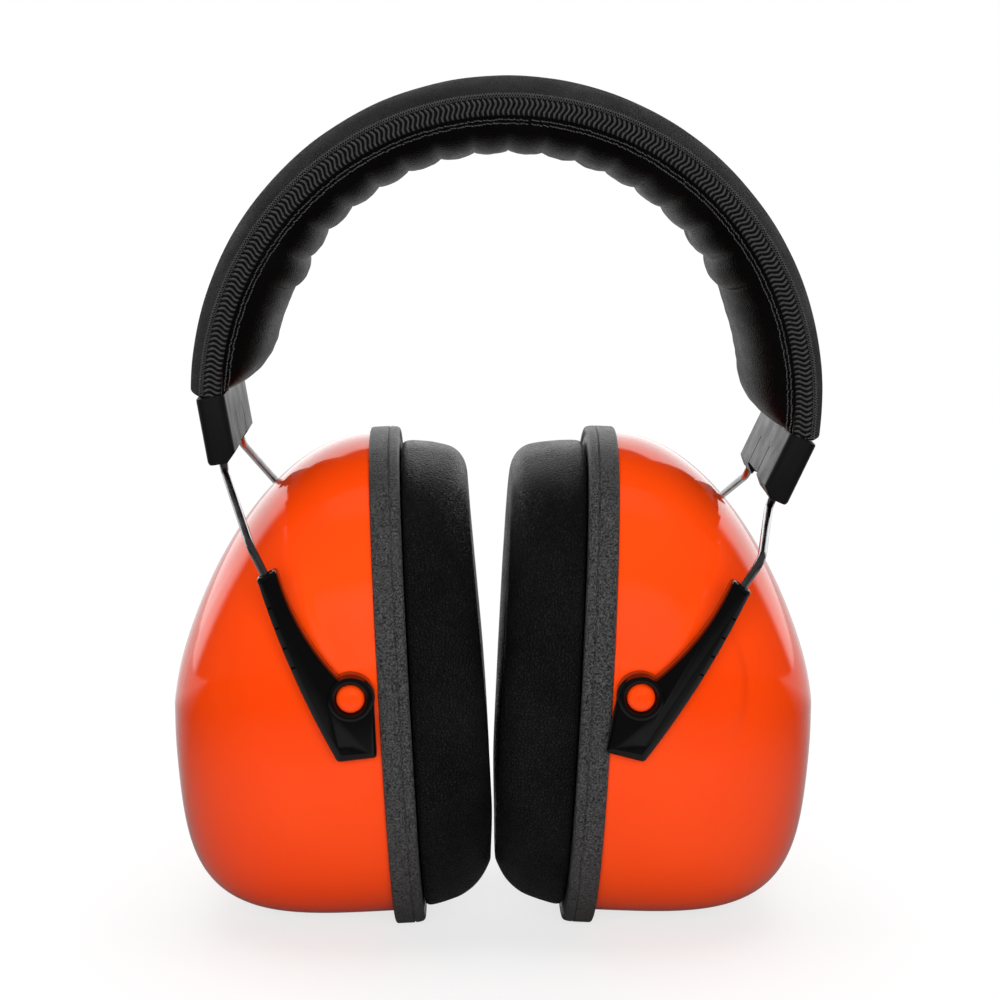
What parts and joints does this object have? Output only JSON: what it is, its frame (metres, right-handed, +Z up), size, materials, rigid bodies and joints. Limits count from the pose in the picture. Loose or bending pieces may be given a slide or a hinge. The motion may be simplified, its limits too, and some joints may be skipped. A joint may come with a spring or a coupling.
{
  "type": "earmuff hearing protector",
  "caption": "Over-the-head hearing protector: domed cups with oval ear cushions, hung by sliding arms on the spring wires of a padded headband.",
  "frame": {"origin": "on the floor, midway across the width and the depth of the bounding box", "axes": "+X from the left cup to the right cup as seen from the front, the front faces -Y, +Z up through the headband's crown"},
  "size_m": [0.1535, 0.0968, 0.2014],
  "materials": {
    "orange_plastic": "smooth and glossy",
    "black_plastic": "fine grain",
    "cushion_skin": "soft artificial leather with a fine grain",
    "foam": "open-cell foam",
    "band_cover": "smooth artificial leather",
    "band_tape": "ribbed woven tape",
    "spring_steel": "drawn wire"
  },
  "bodies": {
    "headband": {"headband_cover": "band_cover", "headband_pad": "cushion_skin", "headband_foam": "foam", "front_binding": "band_tape", "rear_binding": "band_tape", "front_spring_wire": "spring_steel", "rear_spring_wire": "spring_steel"},
    "left_side": {"left_end_clip": "black_plastic"},
    "left_arms": {"left_front_arm": "black_plastic", "left_rear_arm": "black_plastic"},
    "left_cup": {"left_cup_shell": "orange_plastic", "left_base_plate": "black_plastic", "left_cushion_ring": "black_plastic", "left_ear_cushion": "cushion_skin", "left_cushion_foam": "foam", "left_absorber_foam": "foam", "left_front_pivot_pin": "orange_plastic", "left_rear_pivot_pin": "orange_plastic"},
    "right_side": {"right_end_clip": "black_plastic"},
    "right_arms": {"right_front_arm": "black_plastic", "right_rear_arm": "black_plastic"},
    "right_cup": {"right_cup_shell": "orange_plastic", "right_base_plate": "black_plastic", "right_cushion_ring": "black_plastic", "right_ear_cushion": "cushion_skin", "right_cushion_foam": "foam", "right_absorber_foam": "foam", "right_front_pivot_pin": "orange_plastic", "right_rear_pivot_pin": "orange_plastic"}
  },
  "joints": [
    {"name": "left_spread", "type": "hinge", "parent": "headband", "child": "left_side", "pos_m": [-0.0407, 0, 0.1705], "axis": [0, 1, 0], "range_deg": [0, 35], "stiffness_Nm_per_rad": 1.5, "deforming": ["headband_cover", "headband_pad", "headband_foam", "front_binding", "rear_binding", "front_spring_wire", "rear_spring_wire"]},
    {"name": "left_slide", "type": "slide", "parent": "left_side", "child": "left_arms", "axis": [0.4352, 0, -0.9003], "range_m": [0, 0.018], "deforming": ["left_ear_cushion", "left_cushion_foam"]},
    {"name": "left_cup_tilt", "type": "hinge", "parent": "left_arms", "child": "left_cup", "pos_m": [-0.033, 0, 0.06423], "axis": [0, -1, 0], "range_deg": [0, 31.5]},
    {"name": "right_spread", "type": "hinge", "parent": "headband", "child": "right_side", "pos_m": [0.0459, 0, 0.1705], "axis": [0, -1, 0], "range_deg": [0, 35]},
    {"name": "right_slide", "type": "slide", "parent": "right_side", "child": "right_arms", "axis": [-0.5621, 0, -0.8271], "range_m": [0, 0.018], "deforming": ["right_ear_cushion", "right_cushion_foam"]},
    {"name": "right_cup_tilt", "type": "hinge", "parent": "right_arms", "child": "right_cup", "pos_m": [0.0318, 0, 0.06423], "axis": [0, 1, 0], "range_deg": [0, 31.5]}
  ],
  "couplings": [
    {"joint": "right_spread", "follows": "left_spread", "ratio": 1},
    {"joint": "left_cup_tilt", "follows": "left_spread", "ratio": 0.9},
    {"joint": "right_cup_tilt", "follows": "left_spread", "ratio": 0.9}
  ]
}
